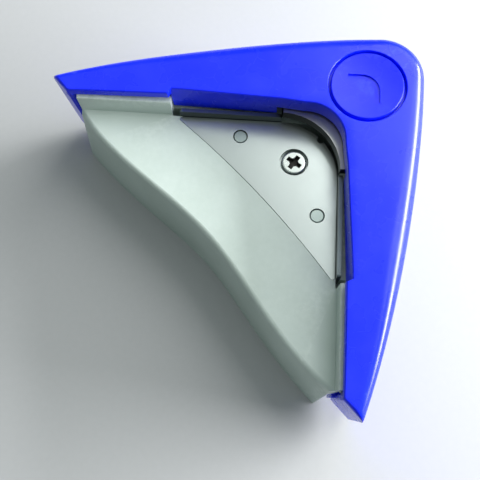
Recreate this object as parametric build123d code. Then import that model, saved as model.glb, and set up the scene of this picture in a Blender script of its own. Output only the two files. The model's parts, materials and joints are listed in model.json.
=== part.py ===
"""Palm-press corner rounder: a hinged press lever over a steel punch and die.

Frame: +Z up, table at Z = 0. The two card stops meet at the Z axis and the arms run
along -X (left arm) and -Y (right arm), so the part is symmetric about the plane X = Y.
All sizes are millimetres.
"""
import math
import os

from build123d import *

# ---------------------------------------------------------------- driving dimensions
DECK_Z = 18.0            # card table height
DECK_FILLET = 1.0
FENCE_Z = 22.8           # top of the moulded card stops
FENCE_X = (-0.2, 1.6)
FENCE_FILLET = 0.35
FENCE_START = 35.75      # distance from the corner where the moulded stops begin
ARM_END = 55.2           # where the base's arms stop
HOLLOW_TOP = 13.0        # the deck is this height less from here up
BASE_WALL = 2.4
COVER_THICK = 2.0
COVER_GAP = 0.15
FRONT_FLARE = 1.5        # the front wall leans out this far at the table
FRONT_END = (-1.1, -ARM_END)
END_FLARE = (0.75, 1.2)  # how much of the flare the front's two ends take, along X and Y
FRONT_WAVE = [(30.5, -40.4), (15.0, -38.9), (0.0, -37.5)]    # across, along the bisector
EAR_OUTER = (3.46, -52.4)
HOLLOW_SPAN = 32.0       # the arms are solid further out than this

CUT_R = 12.0             # corner radius that the tool cuts
CUT_LINE = -0.6          # straight edges of the die
DIE_THICK = 2.5
DIE_SEAM_MID = -23.7     # front edge of the die, along the bisector
DIE_SEAM_END = -25.2
DIE_CORNER_R = 0.5
DIE_NOTCH_R = 0.85
SEAM_GAP = 0.12
SHEAR_GAP = 0.05         # clearance between punch and die
DIE_PLAY = 0.1           # heads stand this far below the table

RAIL_X = (-0.5, 0.3)     # steel card stops beside the die
RAIL_Z = (14.0, 20.0)
RAIL_SPAN = (12.6, 34.0)
RAIL_FILLET = 0.6
RELIEF_X = 1.4           # width of the gap between rail and moulded stop

SLOT = 2.0               # card slot between die and punch
STROKE = 2.7             # punch travel
BLADE_THICK = 2.2
BLADE_X = (CUT_LINE + SHEAR_GAP, 9.0)
CARRIER_X = (1.6, 9.0)
CARRIER_Z = (13.0, DECK_Z + SLOT)
PUNCH_REACH = 12.4       # how far the punch's legs run from the corner
PUNCH_CORNER_R = 5.0
PUNCH_LEAD = 0.2         # room round the blade as it sinks into the base
PUNCH_OVERRUN = 0.7      # room under the blade at full press
WELL_FLOOR = 5.0
WELL_GAP = 0.15
WELL_WALL = 2.2

POST_AT = (5.3, -8.4)    # guide post of the right arm
POST_R = 1.75
POST_Z = (2.6, 17.0)
POST_CHAMFER = 0.4
SPRING_R = 2.6
SPRING_WIRE_R = 0.3
SPRING_TURNS = 4.5
SPRING_GAP = 0.02

HINGE_W = -37.2          # hinge line: distance from the corner along the bisector
HINGE_Z = 14.5
PIN_R = 1.0
PIN_GAP = 0.05
PIN_IN = 34.0            # inner end of each hinge pin, across the bisector
EAR_V = 39.5             # faces of the base that the lever's ends turn against
EAR_GAP = 0.5
REST_TILT = 3.0          # the lever stands this many degrees open at rest

LEVER_TOP = 25.0         # the lever's own sizes are given with the lever level
LEVER_BOTTOM = 3.0
LEVER_WALL = 1.8
LEVER_FILLET = 3.0
LEVER_END_W = -39.5
LEVER_EDGE = 0.7         # inner edge over the moulded stops
LIP_EDGE = 0.1           # inner edge of the lever round the punch
LIP_CORNER_R = 7.8
LIP_BOTTOM = 21.0        # over the punch
LIP_FOOT = 18.6          # beside the steel stops
LIP_LOW_START = 13.6     # distance from the corner where the lip reaches down
LIP_END = 35.3
LIP_LINE = [(LIP_EDGE, 8.0), (0.65, 13.0), (1.5, LIP_END)]    # X and distance from the corner
SKIRT_GAP = 1.0
OUTER_TIP = (4.4, -60.26)
OUTER_MID = (12.5, -27.6)
OUTER_CORNER = (16.0, 7.2)    # the right arm's outer arc runs through this point
BEND_R = 8.8

CLAW_X = (-0.1, 1.6)     # claw at each end of the lever, under the base's arm
CLAW_SPAN = (52.9, 56.2)
CLAW_TOP = 11.5
CLAW_ROOM = 0.7

CATCH_Y = (-3.4, 0.4)    # snap catches that stop the lever at rest
CATCH_Z = (6.8, 8.35)
CATCH_X = (11.6, 15.2)
WINDOW_Y = (-4.2, 1.4)
WINDOW_Z = (5.6, 10.95)
WINDOW_FLOOR = 11.0

DISC_AT = (4.2, 4.2)     # thumb disc
DISC_R = 7.3
DISC_RECESS_R = 7.8
DISC_DEPTH = 1.3
DISC_DISH_R = 60.0
DISC_DISH = 0.4          # the disc's middle stands this far below the lever's top
DISC_SEAT_R = 9.8
DISC_SEAT_THICK = 1.4
DISC_FILLET = 0.5
DISC_RIM = 0.1           # the disc's rim stands this far above the lever
MARK_DEPTH = 0.3
MARK_WIDTH = 1.1
MARK_ARM = 6.4
MARK_SHIFT = 3.84        # brings the mark's middle over the disc's
MARK_R = 3.6             # outer radius of the mark's bend
PUSHER_AT = (5.2, 5.2)
PUSHER_R = 2.0
PUSHER_TIP = 20.02       # in the level lever
PUSHER_FILLET = 0.8
PUSHER_SHOW = 1.2        # how much of the stud stands out of its boss
PUSHER_TOP = LEVER_TOP - DISC_DEPTH - 1.25
BOSS_WALL = 1.4

DIE_SCREW_AT = (-9.57, -9.57)
DIE_SCREW_R = 1.5
DIE_HEAD_R = 2.65
DIE_HEAD_THICK = 1.55
DIE_HEAD_FILLET = 0.5
DIE_HEAD_ROOM = 0.35
DIE_SCREW_END = 8.0
DIE_CROSS = (3.3, 1.4, 57.0)     # a cross recess: width, depth, turn
DIE_PIN_AT = (-4.44, -21.03)
DIE_PIN_R = 1.5
DIE_PIN_END = 9.2
DIE_PIN_CHAMFER = 0.25
COVER_SCREWS = [(-44.0, -4.0), (-4.0, -44.0), (-17.0, -17.0)]
COVER_HEAD_R = 2.25
COVER_HEAD_THICK = 1.25
COVER_SCREW_END = 7.5
COVER_CROSS = (2.5, 0.9, 45.0)
BLADE_SCREW_AT = (5.3, -2.4)
BLADE_HEAD_R = 2.3
BLADE_HEAD_THICK = 1.3
BLADE_SCREW_END = 15.0
BLADE_CROSS = (2.5, 0.95, 20.0)
SMALL_SCREW_R = 1.0
SCREW_ROOM = 0.3         # a hole that a small screw passes through is this much wider
SINK_ROOM = 0.15
CROSS_ARM = 0.3          # slot width of a cross recess, as a share of its width
CROSS_CORE = (0.1, 0.3)  # radii of its tapering core, likewise
PILLAR_R = 3.0           # pillars that screws and pins stand in
CHIP_MOUTH = (-13.1, -0.7)    # hole in the cover that the cut chips fall out of
CHIP_MOUTH_R = 1.5
CHIP_WALL = 0.8          # the shaft's curved wall stands back from the cutting arc

FIT = 0.05               # gap round parts that are held still
BLIND = 0.5              # a blind hole runs this far past what stands in it
PAST = 1.0               # a cutting shape runs this far past the face that it cuts
JOIN = 0.2               # overlap of two shapes that are joined into one piece
FAR = 90.0
ROOT2 = math.sqrt(2.0)
BISECTOR_PLANE = Plane(origin=(0, 0, 0), z_dir=(1, -1, 0))
HINGE_LINE = Axis((HINGE_W / ROOT2, HINGE_W / ROOT2, HINGE_Z), (1, -1, 0))


# ---------------------------------------------------------------- helpers
def on_bisector(v, w):
    """Plan point from the distance across (v) and along (w) the bisector."""
    return ((v + w) / ROOT2, (w - v) / ROOT2)


def swap(point):
    """The same point on the other arm."""
    return (point[1], point[0])


def other_arm(shape):
    return mirror(shape, about=BISECTOR_PLANE)


def prism(face, low, high):
    """Straight block over a plan face, from one height to another."""
    return extrude(Pos(0, 0, low) * face, amount=high - low, dir=(0, 0, 1))


def block(x, y, z):
    """Box between two X, two Y and two Z values."""
    size = Box(x[1] - x[0], y[1] - y[0], z[1] - z[0], align=(Align.MIN,) * 3)
    return Pos(x[0], y[0], z[0]) * size


def arm_block(x, span, z):
    """Box on the right arm: span is measured along the arm from the corner."""
    return block(x, (-span[1], -span[0]), z)


def rod(at, radius, low, high):
    shape = Cylinder(radius, high - low, align=(Align.CENTER, Align.CENTER, Align.MIN))
    return Pos(at[0], at[1], low) * shape


def cone_rod(at, low_r, high_r, low, high):
    shape = Cone(low_r, high_r, high - low, align=(Align.CENTER, Align.CENTER, Align.MIN))
    return Pos(at[0], at[1], low) * shape


def along_hinge(radius, v_from, v_to):
    """Round bar on the hinge line between two distances across the bisector."""
    x, y = on_bisector(v_from, HINGE_W)
    bar = Cylinder(radius, v_to - v_from, align=(Align.CENTER, Align.CENTER, Align.MIN))
    return Plane(origin=(x, y, HINGE_Z), z_dir=(1, -1, 0)) * bar


def across_bisector(v_from, v_to, z):
    """Slab between two distances across the bisector."""
    slab = Box(v_to - v_from, FAR * 2, z[1] - z[0], align=(Align.MIN, Align.CENTER, Align.MIN))
    return Rot(0, 0, -45) * Pos(v_from, 0, z[0]) * slab


def tilt(shape):
    """Turn a piece of the level lever up to its rest position."""
    return shape.rotate(HINGE_LINE, REST_TILT)


def cross_recess(at, top, size):
    """Two crossed slots round a tapering core, as in a cross-head screw."""
    width, depth, turn = size
    middle = (Align.CENTER, Align.CENTER, Align.MAX)
    arm = Box(width, CROSS_ARM * width, depth, align=middle)
    core = Cone(CROSS_CORE[0] * width, CROSS_CORE[1] * width, depth, align=middle)
    cross = arm + Rot(0, 0, 90) * arm + core
    return Pos(at[0], at[1], top) * Rot(0, 0, turn) * cross


# ---------------------------------------------------------------- plan outlines
def quadrant(edge, corner_r=0.0):
    """Plan area between the arms, with sides on X = edge and Y = edge."""
    centre = Pos(edge - FAR, edge - FAR)
    if corner_r:
        return centre * RectangleRounded(2 * FAR, 2 * FAR, corner_r)
    return centre * Rectangle(2 * FAR, 2 * FAR)


def bend_circle():
    """The lever's outer bend touches both arms' arcs: its centre and where it touches the right."""
    arm = ThreePointArc(OUTER_TIP, OUTER_MID, OUTER_CORNER)
    centre = arm.arc_center
    reach = arm.radius - BEND_R
    half_sum = (centre.X + centre.Y) / 2
    spread = (centre.X - centre.Y) / 2
    middle = half_sum + math.sqrt(reach ** 2 / 2 - spread ** 2)
    away = (Vector(middle, middle) - centre).normalized() * arm.radius
    return middle, (centre.X + away.X, centre.Y + away.Y)


def lever_outline():
    """Level lever's outer outline, closed straight across between the arms' ends."""
    end_in = on_bisector(EAR_V + EAR_GAP, LEVER_END_W)
    middle, touch = bend_circle()
    outermost = middle + BEND_R / ROOT2
    edges = [
        ThreePointArc(OUTER_TIP, OUTER_MID, touch),
        ThreePointArc(touch, (outermost, outermost), swap(touch)),
        ThreePointArc(swap(touch), swap(OUTER_MID), swap(OUTER_TIP)),
        Line(swap(OUTER_TIP), swap(end_in)),
        Line(swap(end_in), end_in),
        Line(end_in, OUTER_TIP),
    ]
    return make_face(edges)


def base_outline(flare=0.0, shrink=0.0):
    """Base's outline: its front edge is a shallow wave that flares out by the given amount.

    shrink draws the wave and the outer sides in, for the room and the cover inside.
    """
    inset = LEVER_WALL + SKIRT_GAP + shrink
    corner = OUTER_CORNER[1] - LEVER_WALL - SKIRT_GAP
    side = OUTER_CORNER[0] - inset
    mid = corner + (side - corner) / ROOT2
    bend = (OUTER_MID[0] - inset, OUTER_MID[1])
    ear_out = (EAR_OUTER[0] - shrink, EAR_OUTER[1])
    ear_in = (EAR_V * ROOT2 - ARM_END, -ARM_END)
    front_end = (FRONT_END[0] - END_FLARE[0] * flare, FRONT_END[1] - END_FLARE[1] * flare)
    right = [on_bisector(v, w - flare + shrink) for v, w in FRONT_WAVE]
    points = [front_end] + right + [swap(p) for p in right[1::-1]] + [swap(front_end)]
    edges = [
        Spline(*points),
        Line(swap(front_end), swap(ear_in)),
        Line(swap(ear_in), swap(ear_out)),
        ThreePointArc(swap(ear_out), swap(bend), (corner, side)),
        ThreePointArc((corner, side), (mid, mid), (side, corner)),
        ThreePointArc((side, corner), bend, ear_out),
        Line(ear_out, ear_in),
        Line(ear_in, front_end),
    ]
    return make_face(edges)


def die_outline(grow=0.0):
    """Die plate seen from above; grow enlarges it, for the pocket that holds it."""
    line = CUT_LINE + grow
    centre = CUT_LINE - CUT_R
    tangent = (line, centre)
    apex = centre + (CUT_R + grow) / ROOT2
    seam_w = DIE_SEAM_END - grow
    seam_end = (line, seam_w * ROOT2 - line)
    edges = [
        ThreePointArc(swap(tangent), (apex, apex), tangent),
        Line(tangent, seam_end),
        ThreePointArc(seam_end, on_bisector(0, DIE_SEAM_MID - grow), swap(seam_end)),
        Line(swap(seam_end), swap(tangent)),
    ]
    face = make_face(edges)
    sharp = face.vertices().sort_by(Axis((0, 0, 0), (1, 1, 0)))[:2]
    return fillet(sharp, DIE_CORNER_R + grow)


def chevron(x, reach, corner_r, grow=0.0):
    """L-shaped plan: legs between two X values that run along both arms."""
    side = reach + x[1] + 2 * grow
    centre = x[1] + grow - side / 2
    square = Pos(centre, centre) * Rectangle(side, side)
    square = fillet(square.vertices().sort_by(Axis((0, 0, 0), (1, 1, 0)))[-1], corner_r)
    return square - quadrant(x[0] - grow)


def blade_plan(grow=0.0):
    """Punch: a chevron whose inner corner is filled out to the cutting arc."""
    legs = chevron(BLADE_X, PUNCH_REACH, PUNCH_CORNER_R, grow)
    centre = CUT_LINE - CUT_R
    low = -PUNCH_REACH - grow
    high = CARRIER_X[0] - WELL_GAP
    middle = (low + high) / 2
    fill = Pos(middle, middle) * Rectangle(high - low, high - low)
    fill = fill - Pos(centre, centre) * Circle(CUT_R + SHEAR_GAP - grow)
    return legs + fill


# ---------------------------------------------------------------- base
def base_body():
    body = loft([base_outline(FRONT_FLARE), Pos(0, 0, DECK_Z) * base_outline()], ruled=True)
    front = body.edges().filter_by(GeomType.BSPLINE).sort_by(Axis.Z)[-1]
    body = fillet(front, DECK_FILLET)
    body = body - base_hollow()
    body = body + card_stop() + other_arm(card_stop())
    for side in (arm_cuts(), other_arm(arm_cuts())):
        body = body - side
    blade_room = DECK_Z + SLOT - STROKE - PUNCH_OVERRUN
    body = body - prism(blade_plan(PUNCH_LEAD), blade_room, FAR)
    body = body - prism(chevron(CARRIER_X, PUNCH_REACH, PUNCH_CORNER_R, WELL_GAP), WELL_FLOOR, FAR)
    body = body - chip_space(0.0, DECK_Z + PAST)
    body = body - prism(die_outline(SEAM_GAP), DECK_Z - DIE_THICK, FAR)
    body = body - rod(DIE_SCREW_AT, DIE_SCREW_R, DIE_SCREW_END - BLIND, FAR)
    for at in (DIE_PIN_AT, swap(DIE_PIN_AT)):
        body = body - rod(at, DIE_PIN_R + FIT, DIE_PIN_END - BLIND, FAR)
    for at in (POST_AT, swap(POST_AT)):
        body = body - rod(at, POST_R + FIT, COVER_THICK, FAR)
    for at in COVER_SCREWS:
        body = body - rod(at, SMALL_SCREW_R, 0.0, COVER_SCREW_END + BLIND)
    return body


def base_hollow():
    """Room under the deck, less the pillars and walls that stay."""
    room = prism(base_outline(shrink=BASE_WALL), 0.0, HOLLOW_TOP)
    hollow = room & across_bisector(-HOLLOW_SPAN, HOLLOW_SPAN, (-PAST, FAR))
    well = chevron(CARRIER_X, PUNCH_REACH, PUNCH_CORNER_R, WELL_WALL)
    stay = prism(well, COVER_THICK, HOLLOW_TOP)
    for at in [DIE_SCREW_AT, DIE_PIN_AT, swap(DIE_PIN_AT)] + COVER_SCREWS:
        stay = stay + rod(at, PILLAR_R, COVER_THICK, HOLLOW_TOP)
    return hollow - stay


def card_stop():
    """Moulded stop along the outer part of the right arm."""
    stop = arm_block(FENCE_X, (FENCE_START, ARM_END), (DECK_Z - PAST, FENCE_Z))
    stop = fillet(stop.edges().filter_by(Axis.Y).sort_by(Axis.Z)[-2:], FENCE_FILLET)
    return stop - across_bisector(EAR_V, FAR, (0, FAR))


def arm_cuts():
    """Rail slot, stop relief, hinge bore, claw room and catch window of the right arm."""
    rail = arm_block(RAIL_X, RAIL_SPAN, (RAIL_Z[0], FAR))
    gap = (RAIL_SPAN[1], FENCE_START)
    relief = arm_block((RAIL_X[0], RELIEF_X), gap, (RAIL_Z[0], DECK_Z + PAST))
    bore = along_hinge(PIN_R + PIN_GAP, PIN_IN - BLIND, FAR / 2)
    claw = arm_block((CLAW_X[0] - CLAW_ROOM, FAR), (CLAW_SPAN[0] - CLAW_ROOM, FAR),
                     (-PAST, CLAW_TOP + CLAW_ROOM))
    window = block((WINDOW_FLOOR, FAR), WINDOW_Y, WINDOW_Z)
    return rail + relief + bore + claw + window


def chip_space(low, high):
    """Shaft under the die's corner that the cut chips fall through."""
    centre = CUT_LINE - CUT_R
    side = -centre + FIT * 2
    square = Pos(centre + side / 2, centre + side / 2) * Rectangle(side, side)
    shaft = square - Pos(centre, centre) * Circle(CUT_R - CHIP_WALL)
    return prism(shaft, low, high)


def base_cover():
    whole = prism(base_outline(shrink=BASE_WALL + COVER_GAP), 0.0, COVER_THICK)
    span = HOLLOW_SPAN - COVER_GAP
    plate = whole & across_bisector(-span, span, (-PAST, FAR))
    side = CHIP_MOUTH[1] - CHIP_MOUTH[0]
    middle = sum(CHIP_MOUTH) / 2
    mouth = Pos(middle, middle) * RectangleRounded(side, side, CHIP_MOUTH_R)
    plate = plate - prism(mouth, -PAST, FAR)
    hole_r = SMALL_SCREW_R + SCREW_ROOM
    sink_top = COVER_HEAD_THICK + SINK_ROOM
    for at in COVER_SCREWS:
        sink = cone_rod(at, COVER_HEAD_R + SINK_ROOM, hole_r, 0.0, sink_top)
        plate = plate - sink - rod(at, hole_r, 0.0, FAR)
    return plate


def cover_screws():
    screws = []
    low = DIE_PLAY
    for at in COVER_SCREWS:
        head = cone_rod(at, COVER_HEAD_R, SMALL_SCREW_R, low, low + COVER_HEAD_THICK)
        shank = rod(at, SMALL_SCREW_R - FIT, low, COVER_SCREW_END)
        recess = Pos(at[0], at[1], low) * Rot(180, 0, 0) * cross_recess((0, 0), 0, COVER_CROSS)
        screws.append(head + shank - recess)
    return Compound(screws)


def die_plate():
    plate = prism(die_outline(), DECK_Z - DIE_THICK, DECK_Z)
    apex = CUT_LINE - CUT_R + CUT_R / ROOT2
    plate = plate - rod((apex, apex), DIE_NOTCH_R, 0, FAR)
    plate = plate - rod(DIE_SCREW_AT, DIE_SCREW_R + SINK_ROOM, 0, FAR)
    plate = plate - rod(DIE_SCREW_AT, DIE_HEAD_R + DIE_HEAD_ROOM, DECK_Z - DIE_HEAD_THICK - DIE_PLAY, FAR)
    for at in (DIE_PIN_AT, swap(DIE_PIN_AT)):
        plate = plate - rod(at, DIE_PIN_R + FIT, 0, FAR)
    return plate


def die_screw():
    top = DECK_Z - DIE_PLAY
    head = rod(DIE_SCREW_AT, DIE_HEAD_R, top - DIE_HEAD_THICK, top)
    head = fillet(head.edges().sort_by(Axis.Z)[-1], DIE_HEAD_FILLET)
    shank = rod(DIE_SCREW_AT, DIE_SCREW_R - FIT, DIE_SCREW_END, top - DIE_HEAD_THICK / 2)
    return head + shank - cross_recess(DIE_SCREW_AT, DECK_Z, DIE_CROSS)


def locating_pin():
    pin = rod(DIE_PIN_AT, DIE_PIN_R, DIE_PIN_END, DECK_Z - DIE_PLAY)
    return chamfer(pin.edges().sort_by(Axis.Z)[-1], DIE_PIN_CHAMFER)


def stop_rail():
    rail = arm_block(RAIL_X, RAIL_SPAN, RAIL_Z)
    return fillet(rail.edges().filter_by(Axis.X).sort_by(Axis.Z)[-2:], RAIL_FILLET)


def guide_post():
    post = rod(POST_AT, POST_R, POST_Z[0], POST_Z[1])
    return chamfer(post.edges().sort_by(Axis.Z)[-1], POST_CHAMFER)


# ---------------------------------------------------------------- punch
def punch_blade():
    blade = prism(blade_plan(), DECK_Z + SLOT, DECK_Z + SLOT + BLADE_THICK)
    top = DECK_Z + SLOT + BLADE_THICK
    hole_r = SMALL_SCREW_R + SCREW_ROOM
    for at in (BLADE_SCREW_AT, swap(BLADE_SCREW_AT)):
        sink = cone_rod(at, hole_r, BLADE_HEAD_R + SINK_ROOM, top - BLADE_HEAD_THICK, top)
        blade = blade - sink - rod(at, hole_r, 0, FAR)
    return blade


def punch_carrier():
    carrier = prism(chevron(CARRIER_X, PUNCH_REACH, PUNCH_CORNER_R), CARRIER_Z[0], CARRIER_Z[1])
    for at in (POST_AT, swap(POST_AT)):
        carrier = carrier - rod(at, POST_R + FIT, 0, FAR)
    for at in (BLADE_SCREW_AT, swap(BLADE_SCREW_AT)):
        carrier = carrier - rod(at, SMALL_SCREW_R + FIT, BLADE_SCREW_END - BLIND, FAR)
    return carrier


def blade_screws():
    screws = []
    top = DECK_Z + SLOT + BLADE_THICK - FIT
    for at in (BLADE_SCREW_AT, swap(BLADE_SCREW_AT)):
        head = cone_rod(at, SMALL_SCREW_R, BLADE_HEAD_R, top - BLADE_HEAD_THICK, top)
        shank = rod(at, SMALL_SCREW_R, BLADE_SCREW_END, top)
        screws.append(head + shank - cross_recess(at, top, BLADE_CROSS))
    return Compound(screws)


def return_spring():
    """Compression spring round a guide post, from the well's floor to the carrier."""
    end_gap = SPRING_WIRE_R + SPRING_GAP
    low = WELL_FLOOR + end_gap
    height = CARRIER_Z[0] - WELL_FLOOR - 2 * end_gap
    path = Helix(pitch=height / SPRING_TURNS, height=height, radius=SPRING_R)
    section = Plane(origin=path @ 0, z_dir=path % 0) * Circle(SPRING_WIRE_R)
    return Pos(POST_AT[0], POST_AT[1], low) * sweep(section, path=path)


# ---------------------------------------------------------------- lever
def lever_shell():
    outline = lever_outline()
    solid = prism(outline, LEVER_BOTTOM, LEVER_TOP)
    top_edges = solid.edges().filter_by(GeomType.CIRCLE).group_by(Axis.Z)[-1]
    solid = fillet(top_edges, LEVER_FILLET)
    solid = solid - prism(card_side(), 0, FAR)
    solid = solid - lever_hollow(outline)
    solid = solid + disc_seat() - rod(DISC_AT, DISC_RECESS_R, LEVER_TOP - DISC_DEPTH, FAR)
    solid = solid - rod(PUSHER_AT, PUSHER_R + FIT, 0, PUSHER_TOP + FIT)
    step = arm_block((-FAR, LEVER_EDGE), (LIP_END, FAR), (0.0, FAR))
    solid = solid - step - other_arm(step)
    for side in (claw_and_catch(), other_arm(claw_and_catch())):
        solid = solid + side
    bore = along_hinge(PIN_R + FIT / 5, EAR_V, FAR / 2)
    return tilt(solid - bore - other_arm(bore))


def card_side(back=0.0):
    """Plan area on the card's side of the lips, grown outwards by back."""
    points = [(x + back, -span) for x, span in LIP_LINE]
    points += [(-LIP_END, -LIP_END), (-LIP_END, -LIP_LINE[0][1])]
    beside = make_face(Polyline(*points, close=True))
    return quadrant(LIP_EDGE + back, LIP_CORNER_R) + beside + other_arm(beside)


def lever_hollow(outline):
    """Inside of the shell: open below, with a lip along the steel part of each arm."""
    inner = offset(outline, -LEVER_WALL, kind=Kind.INTERSECTION)
    room = prism(inner, 0.0, LEVER_TOP - LEVER_WALL)
    lip_area = card_side(LEVER_WALL)
    keep = prism(lip_area, LIP_BOTTOM, LEVER_TOP) & block((-LIP_END, FAR), (-LIP_END, FAR), (0, FAR))
    low = arm_block((-FAR, FAR), (LIP_LOW_START, LIP_END), (LIP_FOOT, LIP_BOTTOM))
    for side in (low, other_arm(low)):
        keep = keep + (prism(lip_area, LIP_FOOT, LIP_BOTTOM) & side)
    ends = across_bisector(EAR_V + EAR_GAP, FAR, (0, FAR))
    span = EAR_V + EAR_GAP
    front = (-FAR, LEVER_END_W + 2 * LEVER_WALL)
    between_ends = block((-span, span), front, (0.0, LEVER_TOP - LEVER_WALL))
    hollow = room + Rot(0, 0, -45) * between_ends
    return hollow - keep - ends - other_arm(ends)


def disc_seat():
    """Thick patch under the thumb disc, with the boss that holds the pusher stud."""
    top = LEVER_TOP - LEVER_WALL
    seat = rod(DISC_AT, DISC_SEAT_R, top - DISC_SEAT_THICK, top + JOIN)
    seat = seat - prism(card_side(), 0, FAR)
    outside = prism(lever_outline(), 0, FAR)
    return (seat & outside) + rod(PUSHER_AT, PUSHER_R + BOSS_WALL, PUSHER_TIP + PUSHER_SHOW, top)


def claw_and_catch():
    """Claw under the arm's end and the snap catch near the corner, right arm."""
    claw = arm_block(CLAW_X, CLAW_SPAN, (LEVER_BOTTOM, CLAW_TOP))
    return claw + block(CATCH_X, CATCH_Y, CATCH_Z)


def thumb_disc():
    low = LEVER_TOP - DISC_DEPTH
    disc = rod(DISC_AT, DISC_R, low, LEVER_TOP + DISC_RIM)
    disc = fillet(disc.edges().sort_by(Axis.Z)[-1], DISC_FILLET)
    dish_low = LEVER_TOP - DISC_DISH
    disc = disc - Pos(DISC_AT[0], DISC_AT[1], dish_low + DISC_DISH_R) * Sphere(DISC_DISH_R)
    return tilt(disc - corner_mark())


def corner_mark():
    """Plain sunk mark of a rounded card corner, its bend towards the tool's corner."""
    size = 2 * MARK_ARM
    outer = RectangleRounded(size, size, MARK_R)
    inner = RectangleRounded(size - 2 * MARK_WIDTH, size - 2 * MARK_WIDTH, MARK_R - MARK_WIDTH)
    keep = Pos(MARK_ARM / 2, MARK_ARM / 2) * Rectangle(MARK_ARM, MARK_ARM)
    mark = (outer - inner) & keep
    at = Pos(DISC_AT[0] - MARK_SHIFT, DISC_AT[1] - MARK_SHIFT)
    return prism(at * mark, LEVER_TOP - DISC_DISH - MARK_DEPTH, FAR)


def pusher_stud():
    stud = rod(PUSHER_AT, PUSHER_R, PUSHER_TIP, PUSHER_TOP)
    return tilt(fillet(stud.edges().sort_by(Axis.Z)[0], PUSHER_FILLET))


def hinge_pin():
    skin = prism(lever_outline(), 0, FAR)
    return tilt(along_hinge(PIN_R, PIN_IN, FAR / 2) & skin)


# ---------------------------------------------------------------- write every piece
def save(name, shape):
    shape.label = name
    export_step(shape, os.path.join("parts", name + ".step"))


def main():
    os.makedirs("parts", exist_ok=True)
    single = {
        "base_body": base_body(),
        "base_cover": base_cover(),
        "cover_screws": cover_screws(),
        "die_plate": die_plate(),
        "die_screw": die_screw(),
        "punch_blade": punch_blade(),
        "punch_carrier": punch_carrier(),
        "blade_screws": blade_screws(),
        "lever_shell": lever_shell(),
        "thumb_disc": thumb_disc(),
        "pusher_stud": pusher_stud(),
    }
    for name, shape in single.items():
        save(name, shape)
    paired = {
        "locating_pin": locating_pin(),
        "stop_rail": stop_rail(),
        "guide_post": guide_post(),
        "return_spring": return_spring(),
        "hinge_pin": hinge_pin(),
    }
    for name, shape in paired.items():
        save(name + "_right", shape)
        save(name + "_left", other_arm(shape))


main()
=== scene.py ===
# %% [markdown]
# # Palm-press corner rounder
# A card is pushed into the corner between two stops. A thumb on the disc swings the blue
# lever down about a line through the two arm tips, and the lever drives an L-shaped punch
# past a steel die, which rounds the card's corner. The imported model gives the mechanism.
# This file gives it its looks: the moulded lever is modelled again with its soft outer
# shoulder, the springs and small screws are built by node trees, and every surface gets a
# finish of its own.

# %% Load the mechanism
import json
import math
from functools import partial

import bmesh
import bpy
from mathutils import Matrix, Vector


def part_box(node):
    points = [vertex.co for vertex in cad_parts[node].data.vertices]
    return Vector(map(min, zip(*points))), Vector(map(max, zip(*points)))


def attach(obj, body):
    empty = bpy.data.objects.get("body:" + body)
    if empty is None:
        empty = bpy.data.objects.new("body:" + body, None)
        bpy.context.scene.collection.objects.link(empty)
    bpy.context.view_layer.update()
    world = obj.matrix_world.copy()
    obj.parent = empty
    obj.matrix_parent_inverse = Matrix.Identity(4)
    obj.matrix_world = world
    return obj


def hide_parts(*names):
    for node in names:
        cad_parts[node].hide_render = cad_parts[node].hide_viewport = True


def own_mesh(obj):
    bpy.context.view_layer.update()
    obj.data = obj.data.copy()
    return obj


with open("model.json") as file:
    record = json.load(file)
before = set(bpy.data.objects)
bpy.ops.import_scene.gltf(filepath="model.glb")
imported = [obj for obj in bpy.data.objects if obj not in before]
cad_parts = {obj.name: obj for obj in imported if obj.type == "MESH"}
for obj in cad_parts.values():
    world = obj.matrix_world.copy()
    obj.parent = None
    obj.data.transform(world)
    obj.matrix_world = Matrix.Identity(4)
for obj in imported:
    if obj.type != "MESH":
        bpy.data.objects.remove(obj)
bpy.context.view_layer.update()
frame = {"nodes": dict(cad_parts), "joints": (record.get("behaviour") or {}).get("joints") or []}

MM = 0.001
ROOT2 = math.sqrt(2.0)

# %% [markdown]
# ## Camera
# The tool is seen from above and a little in front, the way a person looks down at it on a
# bench. The camera is given by where it stands and by three directions: right, up and back.

# %% Camera
CAMERA_AT = Vector((-17.073, -61.582, 132.580)) * MM
CAMERA_RIGHT = Vector((0.99785683, 0.06537682, -0.00275978))
CAMERA_UP = Vector((-0.06180226, 0.95547729, 0.28851972))
CAMERA_BACK = Vector((0.0214994, -0.28773082, 0.95746998))


def add_object(name, data):
    """New object with its data, linked to the scene."""
    made = bpy.data.objects.new(name, data)
    bpy.context.scene.collection.objects.link(made)
    return made


def make_camera():
    """A 45 mm lens on a 36 mm sensor, turned by its own three axes."""
    data = bpy.data.cameras.new("bench_camera")
    data.lens = 45.0
    data.sensor_width = 36.0
    data.clip_start = 0.01
    camera = add_object("bench_camera", data)
    turn = Matrix((CAMERA_RIGHT, CAMERA_UP, CAMERA_BACK)).transposed().to_4x4()
    camera.matrix_world = Matrix.Translation(CAMERA_AT) @ turn
    bpy.context.scene.camera = camera
    print("camera stands", round(CAMERA_AT.length / MM), "mm from the corner")


make_camera()

# %% [markdown]
# ## Light
# The main light is a large soft box, high on the right and behind. A thin bright strip lower
# down gives the white streak along the lever's shoulder and adds little else. A very large,
# dim box overhead is what the flat steel mirrors: its size keeps the plate an even grey. A
# dim world fills the rest.


# %% Lights
def soft_box(name, at, aim, size, power, tint):
    """Rectangular area light at a place, aimed at a point, sizes in millimetres."""
    data = bpy.data.lights.new(name, "AREA")
    data.shape = "RECTANGLE"
    data.size = size[0] * MM
    data.size_y = size[1] * MM
    data.energy = power
    data.color = tint
    light = add_object(name, data)
    light.location = Vector(at) * MM
    direction = (Vector(aim) - Vector(at)).normalized()
    light.rotation_euler = direction.to_track_quat("-Z", "Y").to_euler()


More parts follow.
